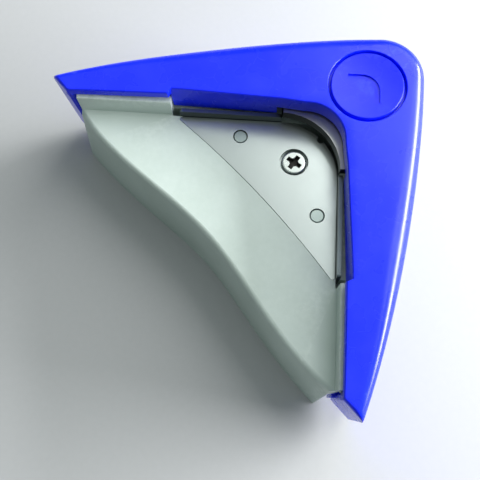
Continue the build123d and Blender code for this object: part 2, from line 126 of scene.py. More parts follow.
def make_lights():
    """Three soft boxes and the dim world."""
    soft_box("streak_right", (370, 80, 135), (0, -10, 20), (420, 90), 6.0, (1.0, 1.0, 1.0))
    soft_box("key_right", (300, 260, 420), (-10, -10, 15), (500, 500), 2.9, (1.0, 1.0, 0.98))
    soft_box("overhead", (-40, 120, 600), (-20, -20, 10), (900, 900), 1.5, (0.96, 1.0, 0.99))
    world = bpy.data.worlds.new("studio")
    world.use_nodes = True
    backdrop = world.node_tree.nodes["Background"].inputs
    backdrop["Color"].default_value = (0.74, 0.92, 0.88, 1.0)
    backdrop["Strength"].default_value = 0.18
    bpy.context.scene.world = world
    bpy.context.scene.view_settings.view_transform = "Standard"


make_lights()

# %% [markdown]
# ## Shader groups
# Effects that several finishes share are node groups. Each puts out only masks and heights,
# so the Principled shader stays in the material. All of them read object coordinates, which
# are metres in the tool's own frame because every piece's object sits at the origin.


# %% Helpers for shader trees
def node(tree, kind, **settings):
    """New node with its attributes set. A key that names an input sets that input."""
    made = tree.nodes.new(kind)
    for key, value in settings.items():
        if hasattr(made, key):
            setattr(made, key, value)
        else:
            made.inputs[key.replace("_", " ")].default_value = value
    return made


def start_group(name, inputs, outputs):
    """Shader group with float inputs and outputs, plus a Vector input. Returns its parts."""
    tree = bpy.data.node_groups.new(name, "ShaderNodeTree")
    tree.interface.new_socket("Vector", in_out="INPUT", socket_type="NodeSocketVector")
    for label, default in inputs.items():
        socket = tree.interface.new_socket(label, in_out="INPUT", socket_type="NodeSocketFloat")
        socket.default_value = default
    for label in outputs:
        tree.interface.new_socket(label, in_out="OUTPUT", socket_type="NodeSocketFloat")
    return tree, tree.nodes.new("NodeGroupInput"), tree.nodes.new("NodeGroupOutput")


def math_node(tree, operation, first, second=0.0, clamp=False):
    """Math node on one or two values, each a socket or a number. Returns its output."""
    made = tree.nodes.new("ShaderNodeMath")
    made.operation = operation
    made.use_clamp = clamp
    for index, value in enumerate((first, second)):
        if isinstance(value, (int, float)):
            made.inputs[index].default_value = value
        else:
            tree.links.new(value, made.inputs[index])
    return made.outputs[0]


def span_node(tree, value, low, high, to_low=0.0, to_high=1.0):
    """Map Range from low..high to to_low..to_high, clamped. Returns its output."""
    made = tree.nodes.new("ShaderNodeMapRange")
    for index, number in enumerate((low, high, to_low, to_high), start=1):
        made.inputs[index].default_value = number
    tree.links.new(value, made.inputs[0])
    return made.outputs[0]


def noise_node(tree, vector, scale, detail=3.0, roughness=0.5):
    """Noise texture on a vector socket. scale is a number or a socket."""
    made = node(tree, "ShaderNodeTexNoise", Detail=detail, Roughness=roughness)
    tree.links.new(vector, made.inputs["Vector"])
    if isinstance(scale, (int, float)):
        made.inputs["Scale"].default_value = scale
    else:
        tree.links.new(scale, made.inputs["Scale"])
    return made.outputs["Fac"]


# %% Shader groups
def mould_grain_group():
    """Spark-eroded skin of a moulding: fine pips over slow waves of tone."""
    tree, start, end = start_group("mould_grain", {"Grain Scale": 5200.0}, ["Height", "Tone"])
    fine = noise_node(tree, start.outputs["Vector"], start.outputs["Grain Scale"], 2.0, 0.6)
    slow = noise_node(tree, start.outputs["Vector"], 90.0, 3.0, 0.55)
    tree.links.new(fine, end.inputs["Height"])
    tree.links.new(slow, end.inputs["Tone"])
    return tree


def edge_wear_group():
    """Mask that is 1 on convex edges, broken up by noise, where hands rub a tool."""
    tree, start, end = start_group("edge_wear", {"Breakup Scale": 900.0}, ["Mask"])
    shape = tree.nodes.new("ShaderNodeNewGeometry")
    edge = span_node(tree, shape.outputs["Pointiness"], 0.52, 0.60)
    patches = noise_node(tree, start.outputs["Vector"], start.outputs["Breakup Scale"], 4.0, 0.6)
    broken = span_node(tree, patches, 0.40, 0.62)
    tree.links.new(math_node(tree, "MULTIPLY", edge, broken, True), end.inputs["Mask"])
    return tree


def settled_dust_group():
    """Mask of fine dust on faces that look up, thicker in patches and as single specks."""
    tree, start, end = start_group("settled_dust", {"Speck Scale": 2600.0}, ["Mask"])
    shape = tree.nodes.new("ShaderNodeNewGeometry")
    parts = tree.nodes.new("ShaderNodeSeparateXYZ")
    tree.links.new(shape.outputs["Normal"], parts.inputs[0])
    upward = span_node(tree, parts.outputs["Z"], 0.5, 1.0)
    film = noise_node(tree, start.outputs["Vector"], 160.0, 5.0, 0.6)
    film = span_node(tree, film, 0.45, 0.8, 0.0, 0.5)
    specks = noise_node(tree, start.outputs["Vector"], start.outputs["Speck Scale"], 1.0, 0.4)
    specks = span_node(tree, specks, 0.72, 0.80)
    both = math_node(tree, "ADD", film, specks, True)
    tree.links.new(math_node(tree, "MULTIPLY", upward, both, True), end.inputs["Mask"])
    return tree


def ground_lines_group():
    """Fine parallel lines of a ground face: noise drawn out along one direction."""
    tree, start, end = start_group("ground_lines", {"Turn": 0.0, "Line Scale": 9000.0},
                                   ["Height", "Streak"])
    turned = tree.nodes.new("ShaderNodeVectorRotate")
    turned.rotation_type = "Z_AXIS"
    tree.links.new(start.outputs["Vector"], turned.inputs["Vector"])
    tree.links.new(start.outputs["Turn"], turned.inputs["Angle"])
    drawn = node(tree, "ShaderNodeVectorMath", operation="MULTIPLY")
    drawn.inputs[1].default_value = (0.02, 1.0, 1.0)
    tree.links.new(turned.outputs[0], drawn.inputs[0])
    lines = noise_node(tree, drawn.outputs[0], start.outputs["Line Scale"], 2.0, 0.7)
    bands = noise_node(tree, drawn.outputs[0], 1400.0, 3.0, 0.6)
    tree.links.new(lines, end.inputs["Height"])
    tree.links.new(bands, end.inputs["Streak"])
    return tree


def hair_scratch_group():
    """Mask of thin random scratches, from the edges of stretched and bent cells."""
    tree, start, end = start_group("hair_scratches", {"Spacing Scale": 260.0}, ["Mask"])
    bend = node(tree, "ShaderNodeTexNoise", Scale=120.0, Detail=2.0)
    tree.links.new(start.outputs["Vector"], bend.inputs["Vector"])
    mixed = node(tree, "ShaderNodeMix", data_type="VECTOR")
    mixed.inputs[0].default_value = 0.006
    tree.links.new(start.outputs["Vector"], mixed.inputs[4])
    tree.links.new(bend.outputs["Color"], mixed.inputs[5])
    cells = node(tree, "ShaderNodeTexVoronoi", feature="DISTANCE_TO_EDGE")
    tree.links.new(mixed.outputs[1], cells.inputs["Vector"])
    tree.links.new(start.outputs["Spacing Scale"], cells.inputs["Scale"])
    thin = span_node(tree, cells.outputs["Distance"], 0.0, 0.018, 1.0, 0.0)
    gaps = span_node(tree, noise_node(tree, start.outputs["Vector"], 420.0, 2.0), 0.52, 0.60)
    tree.links.new(math_node(tree, "MULTIPLY", thin, gaps, True), end.inputs["Mask"])
    return tree


GROUPS = {tree.name: tree for tree in (
    mould_grain_group(), edge_wear_group(), settled_dust_group(), ground_lines_group(),
    hair_scratch_group())}
print("shader groups:", ", ".join(GROUPS))


# %% Helpers for materials
def start_material(name):
    """Material with a Principled shader and object coordinates. Returns its parts."""
    material = bpy.data.materials.new(name)
    material.use_nodes = True
    tree = material.node_tree
    shader = tree.nodes["Principled BSDF"]
    place = tree.nodes.new("ShaderNodeTexCoord").outputs["Object"]
    return material, tree, shader, place


def use_group(tree, name, place, **values):
    """One shader group in a material, with its own values."""
    made = tree.nodes.new("ShaderNodeGroup")
    made.node_tree = GROUPS[name]
    tree.links.new(place, made.inputs["Vector"])
    for key, value in values.items():
        made.inputs[key.replace("_", " ")].default_value = value
    return made


def mix_colours(tree, mask, first, second):
    """Blend of two colours by a mask. Each colour is a socket or a linear RGB triple."""
    made = node(tree, "ShaderNodeMix", data_type="RGBA")
    tree.links.new(mask, made.inputs[0])
    for index, value in ((6, first), (7, second)):
        if isinstance(value, tuple):
            made.inputs[index].default_value = (*value, 1.0)
        else:
            tree.links.new(value, made.inputs[index])
    return made.outputs[2]


def bump(tree, shader, height, strength, distance_mm):
    """Bump from a height socket, chained under any bump that the shader already has."""
    made = node(tree, "ShaderNodeBump", Strength=strength, Distance=distance_mm * MM)
    tree.links.new(height, made.inputs["Height"])
    before = shader.inputs["Normal"].links
    if before:
        tree.links.new(before[0].from_socket, made.inputs["Normal"])
    tree.links.new(made.outputs["Normal"], shader.inputs["Normal"])


# %% [markdown]
# ## Moulded plastics
# The lever is a strong blue, glossy but not polished: the mould's fine skin blurs every
# reflection. The base is a cool pale grey with a coarser matt skin. Colour drifts a little
# over a moulding, edges that are rubbed go lighter, and dust settles on what looks up. The
# rubbed edges are weak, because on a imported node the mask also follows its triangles.


# %% Moulded plastics
DUST = (0.62, 0.63, 0.62)


def plastic(name, colour, drift, worn, rough, grain_scale, grain_depth, dust_amount, gloss=0.45):
    """Moulded plastic: colour drifting to drift, worn edges, matt skin, a little dust."""
    material, tree, shader, place = start_material(name)
    grain = use_group(tree, "mould_grain", place, Grain_Scale=grain_scale)
    wear = use_group(tree, "edge_wear", place)
    dust = use_group(tree, "settled_dust", place)
    scratch = use_group(tree, "hair_scratches", place)
    tone = span_node(tree, grain.outputs["Tone"], 0.35, 0.65)
    body = mix_colours(tree, tone, colour, drift)
    rubbed = math_node(tree, "MULTIPLY", wear.outputs["Mask"], 0.5)
    body = mix_colours(tree, rubbed, body, worn)
    dusted = math_node(tree, "MULTIPLY", dust.outputs["Mask"], dust_amount)
    body = mix_colours(tree, dusted, body, DUST)
    tree.links.new(body, shader.inputs["Base Color"])
    base = span_node(tree, grain.outputs["Tone"], 0.3, 0.7, rough - 0.04, rough + 0.05)
    scuffed = math_node(tree, "MULTIPLY", scratch.outputs["Mask"], 0.14)
    powder = math_node(tree, "MULTIPLY", dusted, 0.8)
    total = math_node(tree, "ADD", math_node(tree, "ADD", base, scuffed), powder, True)
    tree.links.new(total, shader.inputs["Roughness"])
    bump(tree, shader, grain.outputs["Height"], 0.35, grain_depth)
    bump(tree, shader, scratch.outputs["Mask"], -0.25, 0.01)
    shader.inputs["Specular IOR Level"].default_value = gloss
    shader.inputs["IOR"].default_value = 1.5
    return material


LEVER_BLUE = plastic("lever_blue", (0.003, 0.017, 0.92), (0.005, 0.022, 0.98),
                     (0.05, 0.09, 1.0), 0.27, 4200.0, 0.010, 0.02, 0.34)
DISC_BLUE = plastic("disc_blue", (0.004, 0.013, 0.84), (0.006, 0.018, 0.91),
                    (0.05, 0.09, 1.0), 0.27, 5200.0, 0.007, 0.02, 0.26)
BASE_PALE = plastic("base_pale", (0.530, 0.620, 0.578), (0.570, 0.660, 0.622),
                    (0.75, 0.83, 0.79), 0.52, 3200.0, 0.020, 0.06)
CARRIER_GREY = plastic("carrier_grey", (0.10, 0.105, 0.11), (0.13, 0.135, 0.14),
                       (0.30, 0.30, 0.30), 0.48, 3600.0, 0.015, 0.02)
print("plastics:", LEVER_BLUE.name, DISC_BLUE.name, BASE_PALE.name, CARRIER_GREY.name)

# %% [markdown]
# ## Steels
# The die, the punch and the rails are ground: fine lines in one direction that stretch a
# reflection across them. Pins and screws are turned or plated. Bare steel is never one
# colour: it carries faint stains and a few hair scratches. Of the steels, only the small
# screws and springs get rubbed edges. They are meshed here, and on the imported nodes' long thin
# triangles the mask shows up on bright metal as patches.


# %% Steels
def steel(name, colour, stain, rough, line_turn, line_scale, line_strength, wear_amount=0.0):
    """Bare or plated steel with ground lines, stains and hair scratches."""
    material, tree, shader, place = start_material(name)
    lines = use_group(tree, "ground_lines", place, Turn=line_turn, Line_Scale=line_scale)
    scratch = use_group(tree, "hair_scratches", place, Spacing_Scale=340.0)
    stains = span_node(tree, noise_node(tree, place, 150.0, 4.0, 0.5), 0.35, 0.75)
    body = mix_colours(tree, stains, colour, stain)
    if wear_amount:
        wear = use_group(tree, "edge_wear", place)
        rubbed = math_node(tree, "MULTIPLY", wear.outputs["Mask"], wear_amount)
        body = mix_colours(tree, rubbed, body, (0.85, 0.87, 0.87))
    tree.links.new(body, shader.inputs["Base Color"])
    base = span_node(tree, lines.outputs["Streak"], 0.3, 0.7, rough - 0.02, rough + 0.03)
    marked = math_node(tree, "MULTIPLY", stains, 0.04)
    total = math_node(tree, "ADD", base, marked)
    tree.links.new(total, shader.inputs["Roughness"])
    shader.inputs["Metallic"].default_value = 1.0
    bump(tree, shader, lines.outputs["Height"], line_strength, 0.003)
    bump(tree, shader, scratch.outputs["Mask"], -0.12, 0.005)
    return material


DIE_STEEL = steel("die_steel", (0.47, 0.52, 0.51), (0.44, 0.485, 0.475), 0.30,
                  math.radians(45), 9000.0, 0.20)
PUNCH_STEEL = steel("punch_steel", (0.50, 0.52, 0.50), (0.42, 0.40, 0.36), 0.33,
                    math.radians(-45), 9000.0, 0.20)
RAIL_STEEL = steel("rail_steel", (0.22, 0.26, 0.27), (0.19, 0.23, 0.23), 0.30,
                   0.0, 8000.0, 0.18)
PIN_STEEL = steel("pin_steel", (0.36, 0.43, 0.41), (0.31, 0.37, 0.35), 0.38,
                  0.3, 7000.0, 0.25)
SCREW_BRIGHT = steel("screw_bright", (0.56, 0.61, 0.58), (0.50, 0.54, 0.52), 0.26,
                     0.9, 6000.0, 0.15)
SCREW_ZINC = steel("screw_zinc", (0.62, 0.63, 0.60), (0.50, 0.52, 0.47), 0.33,
                   0.5, 6000.0, 0.20, 0.5)
SPRING_WIRE = steel("spring_wire", (0.50, 0.51, 0.52), (0.36, 0.36, 0.36), 0.30,
                    1.2, 6000.0, 0.15, 0.3)
print("steels:", ", ".join(m.name for m in (DIE_STEEL, PUNCH_STEEL, RAIL_STEEL, PIN_STEEL,
                                            SCREW_BRIGHT, SCREW_ZINC, SPRING_WIRE)))

# %% [markdown]
# ## Painted shade on upright sides and in the cross recess
# The punch's walls and the rails' sides get painted shade: their colour is darkened where a face
# stands upright while their tops stay bare, so the gap round the die's corner reads black. The
# mask is how upright a face is.
#
# The cross recess gets painted shade, so it reads as a dark cross even in full light.
# The painted shade is masked by place: inside the cross's reach of the screw's axis, and lower
# than the head's flat top. It needs no extra mesh and stays put as the tool is turned.


# %% Painted shade on upright sides and in the cross recess
DIE_SCREW_AT = Vector((-9.57, -9.57, 0.0)) * MM
CROSS_REACH = 1.75 * MM
CROSS_FADE = 0.05 * MM
# Depths below the head's top over which the painted shade fades in.
SHADE_FROM, SHADE_FULL = 0.03 * MM, 0.25 * MM
HEAD_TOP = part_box("die_screw")[1][2]


def paint_side_shade(material, dark):
    """Painted shade on the upright faces of a ground piece; its top stays bare."""
    tree = material.node_tree
    shader = tree.nodes["Principled BSDF"]
    parts = tree.nodes.new("ShaderNodeSeparateXYZ")
    tree.links.new(tree.nodes.new("ShaderNodeNewGeometry").outputs["Normal"], parts.inputs[0])
    level = math_node(tree, "ABSOLUTE", parts.outputs["Z"])
    upright = span_node(tree, level, 0.35, 0.75, 1.0, 0.0)
    clean = shader.inputs["Base Color"].links[0].from_socket
    tree.links.new(mix_colours(tree, upright, clean, dark), shader.inputs["Base Color"])


# Painted shade: the upright faces of the punch and the rails are darkened.
paint_side_shade(PUNCH_STEEL, (0.030, 0.032, 0.035))
paint_side_shade(RAIL_STEEL, (0.10, 0.12, 0.13))
print("blackened sides:", PUNCH_STEEL.name, RAIL_STEEL.name)


def paint_cross_shade(material):
    """Painted shade in the recess of the die's screw: dark, dull and not metallic there."""
    tree = material.node_tree
    shader = tree.nodes["Principled BSDF"]
    place = tree.nodes.new("ShaderNodeTexCoord").outputs["Object"]
    parts = tree.nodes.new("ShaderNodeSeparateXYZ")
    tree.links.new(place, parts.inputs[0])
    flat = node(tree, "ShaderNodeVectorMath", operation="MULTIPLY")
    flat.inputs[1].default_value = (1.0, 1.0, 0.0)
    tree.links.new(place, flat.inputs[0])
    reach = node(tree, "ShaderNodeVectorMath", operation="DISTANCE")
    reach.inputs[1].default_value = DIE_SCREW_AT
    tree.links.new(flat.outputs["Vector"], reach.inputs[0])
    inside = span_node(tree, reach.outputs["Value"], CROSS_REACH - CROSS_FADE, CROSS_REACH,
                       1.0, 0.0)
    below = span_node(tree, parts.outputs["Z"], HEAD_TOP - SHADE_FULL, HEAD_TOP - SHADE_FROM,
                      1.0, 0.0)
    # The mask is painted shade in the cross recess.
    mask = math_node(tree, "MULTIPLY", inside, below, True)
    clean = shader.inputs["Base Color"].links[0].from_socket
    shaded = mix_colours(tree, mask, clean, (0.035, 0.033, 0.028))
    tree.links.new(shaded, shader.inputs["Base Color"])
    ground = shader.inputs["Roughness"].links[0].from_socket
    dull = math_node(tree, "ADD", ground, math_node(tree, "MULTIPLY", mask, 0.45), True)
    tree.links.new(dull, shader.inputs["Roughness"])
    bare = math_node(tree, "SUBTRACT", 1.0, mask, True)
    tree.links.new(bare, shader.inputs["Metallic"])


# Painted shade in the die screw's cross recess.
paint_cross_shade(SCREW_BRIGHT)
print("screw head's top stands at", round(HEAD_TOP / MM, 2), "mm")

# %% [markdown]
# ## Dressing
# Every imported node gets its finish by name. Some are replaced by a mesh made further down,
# which takes the same finish. Pins, posts and the stud have no entry and get the pin steel.

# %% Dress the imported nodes
FINISHES = {
    "base_body": BASE_PALE,
    "base_cover": BASE_PALE,
    "lever_shell": LEVER_BLUE,
    "thumb_disc": DISC_BLUE,
    "punch_carrier": CARRIER_GREY,
    "die_plate": DIE_STEEL,
    "punch_blade": PUNCH_STEEL,
    "stop_rail_left": RAIL_STEEL,
    "stop_rail_right": RAIL_STEEL,
    "die_screw": SCREW_BRIGHT,
    "cover_screws": SCREW_ZINC,
    "blade_screws": SCREW_ZINC,
    "return_spring_left": SPRING_WIRE,
    "return_spring_right": SPRING_WIRE,
}


def dress(node_name, material):
    """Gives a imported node's object one finish."""
    slots = frame["nodes"][node_name].data.materials
    slots.clear()
    slots.append(material)


for node_name in frame["nodes"]:
    dress(node_name, FINISHES.get(node_name, PIN_STEEL))
print("dressed", len(frame["nodes"]), "nodes")

# %% [markdown]
# ## The press lever
# On the real tool this is one injection moulding: a bent channel, open below, with a soft
# shoulder along its outside, slanted lips where a card slides in, and solid ends that turn on
# the hinge pins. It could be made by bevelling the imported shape, but the shoulder's width
# changes along each arm, which a bevel can't do. So the skin is swept: one cross-section is
# worked out at each of many stations from one arm's tip, round the corner, to the other's,
# and the rings of points are joined. The hollow, the disc's seat and the bores are then cut.
# All sizes are for the lever pressed level; the finished mesh is tilted to its rest place.

# %% Sizes of the lever
TOP_Z = 25.0
FOOT_Z = 3.02
WALL = 1.8
TIP = Vector((4.4, -60.26))
MID = Vector((12.5, -27.6))
FAR_END = Vector((16.0, 7.2))
BEND_R = 8.8
INNER_TIP = Vector((0.7, -56.56))
STOP_EDGE = 0.7
LIP_EDGE = 0.1
LIP_BEND_R = 7.8
LIP_LINE = [(LIP_EDGE, 8.0), (0.65, 13.0), (1.5, 35.3)]
LIP_END = LIP_LINE[-1][1]
LIP_LOW_START = 13.6
LIP_HIGH_Z = 21.0
LIP_FOOT_Z = 18.6
LIP_SLANT = 0.45
LIP_STEP = 0.45
STOP_SLANT = 0.12
HINGE = Vector(next(j for j in frame["joints"] if j["name"] == "lever_press")["pos_m"])
HINGE_AXIS = Vector((1.0, -1.0, 0.0)).normalized()
REST_TILT = math.radians(3.0)
DISC_AT = Vector((4.2, 4.2))
SEAT_R = 7.8
SEAT_DEPTH = 1.3


# %% Outline of the lever
def circle_through(first, second, third):
    """Centre and radius of the circle through three plan points."""
    a, b = second - first, third - first
    d = 2.0 * (a.x * b.y - a.y * b.x)
    x = (b.y * a.length_squared - a.y * b.length_squared) / d
    y = (a.x * b.length_squared - b.x * a.length_squared) / d
    return first + Vector((x, y)), math.hypot(x, y)


ARM_CENTRE, ARM_R = circle_through(TIP, MID, FAR_END)


def touching_bend():
    """Centre of the bend's circle, which touches both arms' arcs, and its touching point."""
    half_sum = (ARM_CENTRE.x + ARM_CENTRE.y) / 2.0
    spread = (ARM_CENTRE.x - ARM_CENTRE.y) / 2.0
    middle = half_sum + math.sqrt((ARM_R - BEND_R) ** 2 / 2.0 - spread ** 2)
    centre = Vector((middle, middle))
    return centre, ARM_CENTRE + (centre - ARM_CENTRE).normalized() * ARM_R


BEND_CENTRE, BEND = touching_bend()
ARM_SPAN = (BEND - TIP).length
TIP_SOFT = 0.9
TIP_RINGS = (0.015, 0.06, 0.13, 0.24, 0.4, 0.65)
TOP_ROOM = 0.05
SHOULDER_AT_TIP, SHOULDER_GAIN, SHOULDER_LOSS = 1.8, 1.9, 0.7
print("bend touches the arm at", tuple(round(v, 2) for v in BEND))


def arc_point(centre, radius, start, end, share):
    """Point on the short arc from start to end, share of the way along."""
    low = math.atan2(start.y - centre.y, start.x - centre.x)
    turn = math.atan2(end.y - centre.y, end.x - centre.x) - low
    turn = (turn + math.pi) % (2.0 * math.pi) - math.pi
    angle = low + turn * share
    return centre + radius * Vector((math.cos(angle), math.sin(angle)))


def ease(share):
    """0 to 1 with soft ends."""
    share = min(max(share, 0.0), 1.0)
    return share * share * (3.0 - 2.0 * share)


def shoulder_width(share):
    """Width of the outer shoulder from the arm's tip (0) to the bend (1): up, then down."""
    rise = SHOULDER_AT_TIP + SHOULDER_GAIN * ease(share / 0.55)
    return rise - SHOULDER_LOSS * ease((share - 0.6) / 0.4)


def lip_edge(span):
    """X of the lip's face at a distance from the corner, in straight runs."""
    for (x_from, near), (x_to, far) in zip(LIP_LINE, LIP_LINE[1:]):
        if span <= far:
            return x_from + (x_to - x_from) * max(span - near, 0.0) / (far - near)
    return STOP_EDGE


def arm_station(share):
    """Outer point, inner point, outward direction, shoulder, slant and drop of a section."""
    outer = arc_point(ARM_CENTRE, ARM_R, TIP, BEND, share)
    inner_y = INNER_TIP.y + share * (LIP_EDGE - LIP_BEND_R - INNER_TIP.y)
    on_lip = ease((inner_y + LIP_END + LIP_STEP) / LIP_STEP)
    edge = STOP_EDGE + (lip_edge(min(-inner_y, LIP_END)) - STOP_EDGE) * on_lip
    run = (LIP_END + inner_y) / (LIP_END - LIP_BEND_R)
    slant = on_lip * LIP_SLANT * (1.0 - ease(run)) + STOP_SLANT * (1.0 - on_lip)
    outward = (outer - ARM_CENTRE).normalized()
    near_end = max(1.0 - share * ARM_SPAN / TIP_SOFT, 0.0)
    drop = TIP_SOFT * (1.0 - math.sqrt(1.0 - near_end ** 2)) + TOP_ROOM
    return outer, Vector((edge, inner_y)), outward, shoulder_width(share), slant, drop


def bend_station(share):
    """The same for the bend, from the right arm to the left arm."""
    outer = arc_point(BEND_CENTRE, BEND_R, BEND, BEND.yx, share)
    inner_middle = LIP_EDGE - LIP_BEND_R
    inner_start = Vector((LIP_EDGE, inner_middle))
    centre = Vector((inner_middle, inner_middle))
    inner = arc_point(centre, LIP_BEND_R, inner_start, inner_start.yx, share)
    return outer, inner, (outer - BEND_CENTRE).normalized(), shoulder_width(1.0), 0.0, TOP_ROOM


def all_stations(per_arm=150, in_bend=64):
    """Stations from the right arm's tip round to the left arm's tip."""
    reach = LIP_EDGE - LIP_BEND_R - INNER_TIP.y
    step_share = (-LIP_END - LIP_STEP - INNER_TIP.y) / reach
    shares = [i / per_arm for i in range(per_arm)]
    shares += [step_share + (LIP_STEP / reach) * i / 8 for i in range(9)]
    shares += [TIP_SOFT / ARM_SPAN * rise for rise in TIP_RINGS]
    right = [arm_station(share) for share in sorted(set(shares))]
    bend = [bend_station(i / in_bend) for i in range(in_bend + 1)]
    left = [(outer.yx, inner.yx, outward.yx, *rest)
            for outer, inner, outward, *rest in reversed(right)]
    return right + bend + left


# %% Cross-section of the lever
INNER_SOFT = 0.4
SKIN_ROOM = 0.01
LEAST_FACING = 0.6
SIDE_RING_Z = TOP_Z - 9.0
SOFT_STEPS, FLAT_STEPS, SHOULDER_STEPS = 6, 8, 12


def section(outer, inner, outward, width, slant, drop):
    """Ring of points at one station: up the inner face, over the top, down the outside."""
    across = outer - inner
    length = across.length - SKIN_ROOM
    across = across.normalized()
    shoulder = width / max(across.dot(outward), LEAST_FACING)
    top = TOP_Z - drop
    profile = [(0.0, FOOT_Z), (0.0, LIP_FOOT_Z), (0.0, LIP_HIGH_Z)]
    for i in range(SOFT_STEPS + 1):
        angle = math.radians(90 * i / SOFT_STEPS)
        profile.append((slant + INNER_SOFT * (1 - math.cos(angle)),
                        top - INNER_SOFT * (1 - math.sin(angle))))
    start = slant + INNER_SOFT
    flat_end = length - shoulder
    for i in range(1, FLAT_STEPS + 1):
        profile.append((start + (flat_end - start) * i / FLAT_STEPS, top))
    for i in range(1, SHOULDER_STEPS + 1):
        angle = math.radians(90 * i / SHOULDER_STEPS)
        profile.append((flat_end + shoulder * math.sin(angle),
                        top - width * (1 - math.cos(angle))))
    profile += [(length, SIDE_RING_Z), (length, FOOT_Z)]
    return [Vector((inner.x + across.x * d, inner.y + across.y * d, z)) for d, z in profile]


def mesh_object(name, vertices, faces):
    """Mesh object from millimetre points, still in millimetres."""
    mesh = bpy.data.meshes.new(name)
    mesh.from_pydata(vertices, [], faces)
    mesh.update()
    return add_object(name, mesh)


def ring_faces(rings, size):
    """Four-sided faces between rings of points, and one face over each end."""
    faces = []
    for r in range(rings - 1):
        for i in range(size):
            j = (i + 1) % size
            faces.append((r * size + i, r * size + j, (r + 1) * size + j, (r + 1) * size + i))
    last = (rings - 1) * size
    return faces + [tuple(reversed(range(size))), tuple(range(last, last + size))]


def turn_outward(piece, weld=1e-4, close=False):
    """Merges doubled points and turns the faces outwards. close also fills open rings."""
    work = bmesh.new()
    work.from_mesh(piece.data)
    bmesh.ops.remove_doubles(work, verts=work.verts, dist=weld)
    if close:
        bmesh.ops.dissolve_degenerate(work, edges=work.edges, dist=weld)
        open_ring = [edge for edge in work.edges if edge.is_boundary]
        if open_ring:
            bmesh.ops.holes_fill(work, edges=open_ring, sides=0)
    bmesh.ops.recalc_face_normals(work, faces=work.faces)
    work.to_mesh(piece.data)
    work.free()


def swept_skin():
    """Closed skin: one cross-section at every station, joined into a tube."""
    rings = [section(*station) for station in all_stations()]
    size = len(rings[0])
    skin = mesh_object("press_lever", [p for ring in rings for p in ring],
                       ring_faces(len(rings), size))
    turn_outward(skin)
    print("lever skin:", len(rings), "rings of", size, "points")
    return skin


# %% Tools that cut and join
def prism(name, outline, low, high):
    """Upright block over a closed plan outline."""
    vertices = [(p[0], p[1], z) for z in (low, high) for p in outline]
    made = mesh_object(name, vertices, ring_faces(2, len(outline)))
    turn_outward(made)
    return made


def turned(name, at, profile, sides=128):
    """Solid of revolution about an upright axis from (radius, height) points."""
    angles = [2.0 * math.pi * i / sides for i in range(sides)]
    vertices = [(at.x + radius * math.cos(angle), at.y + radius * math.sin(angle), height)
                for radius, height in profile for angle in angles]
    made = mesh_object(name, vertices, ring_faces(len(profile), sides))
    turn_outward(made)
    return made


def combine(piece, tool, operation):
    """Cuts a tool out of a piece, or joins it on, and removes the tool."""
    modifier = piece.modifiers.new("shape", "BOOLEAN")
    modifier.operation = operation
    modifier.solver = "EXACT"
    modifier.object = tool
    graph = bpy.context.evaluated_depsgraph_get()
    mesh = bpy.data.meshes.new_from_object(piece.evaluated_get(graph))
    piece.modifiers.remove(modifier)
    piece.data = mesh
    bpy.data.objects.remove(tool)


def in_plan(v, w):
    """Plan point from distances across and along the bisector of the corner."""
    return ((v + w) / ROOT2, (w - v) / ROOT2)


def box_points(x, y):
    """Plan outline of a box between two x values and two y values."""
    return [(x[0], y[0]), (x[1], y[0]), (x[1], y[1]), (x[0], y[1])]


def both_arms(points):
    """A plan outline and its twin on the other arm."""
    return points, [(y, x) for x, y in points]


# %% Hollow of the lever
EAR_FACE = 40.0
FAR_OUT = 60.0
OPEN_BELOW = 4.0
LOW_OVERLAP, HIGH_OVERLAP = 0.5, 0.01
LIP_PAST = 1.0


def hollow_outline():
    """Inside of the channel: the outer outline drawn in by one wall, cut off at the ears."""
    arm = [arc_point(ARM_CENTRE, ARM_R - WALL, TIP, BEND, i / 80) for i in range(81)]
    arm = [p for p in arm if (p.x - p.y) / ROOT2 < EAR_FACE]
    bend = [arc_point(BEND_CENTRE, BEND_R - WALL, BEND, BEND.yx, i / 32) for i in range(1, 32)]
    left = [p.yx for p in reversed(arm)]
    cut = (arm[0].x + arm[0].y) / ROOT2
    near = [in_plan(-EAR_FACE, cut), in_plan(-EAR_FACE, -FAR_OUT),
            in_plan(EAR_FACE, -FAR_OUT), in_plan(EAR_FACE, cut)]
    return [tuple(p) for p in arm + bend + left] + near


def lip_outline(nearest):
    """Plan area behind the lips' faces, from one distance from the corner to the lips' end."""
    right = [(x + WALL, -span) for x, span in reversed(LIP_LINE) if span >= nearest]
    if nearest > LIP_LINE[0][1]:
        right = [right[0], (lip_edge(nearest) + WALL, -nearest)]
        return right + [(-LIP_PAST, -nearest), (-LIP_PAST, -LIP_END)]
    middle = LIP_EDGE + WALL - LIP_BEND_R
    centre = Vector((middle, middle))
    start = Vector((LIP_EDGE + WALL, middle))
    bend = [tuple(arc_point(centre, LIP_BEND_R, start, start.yx, i / 24)) for i in range(25)]
    return right + bend + [(y, x) for x, y in reversed(right)] + [(-LIP_END, -LIP_END)]


def hollow_out(skin):
    """Cuts the channel, leaving the lips: low beside the steel stops, higher over the punch."""
    low_room = prism("room_low", hollow_outline(), FOOT_Z - OPEN_BELOW, LIP_FOOT_Z)
    combine(skin, low_room, "DIFFERENCE")
    for low, high, nearest in ((LIP_FOOT_Z - LOW_OVERLAP, LIP_HIGH_Z, LIP_LOW_START),
                               (LIP_HIGH_Z - HIGH_OVERLAP, TOP_Z - WALL, 0.0)):
        room = prism("room", hollow_outline(), low, high)
        outlines = [lip_outline(nearest)]
        if nearest:
            outlines = both_arms(outlines[0])
        for outline in outlines:
            lip = prism("lip", outline, low - LIP_PAST, high + LIP_PAST)
            combine(room, lip, "DIFFERENCE")
        combine(skin, room, "DIFFERENCE")


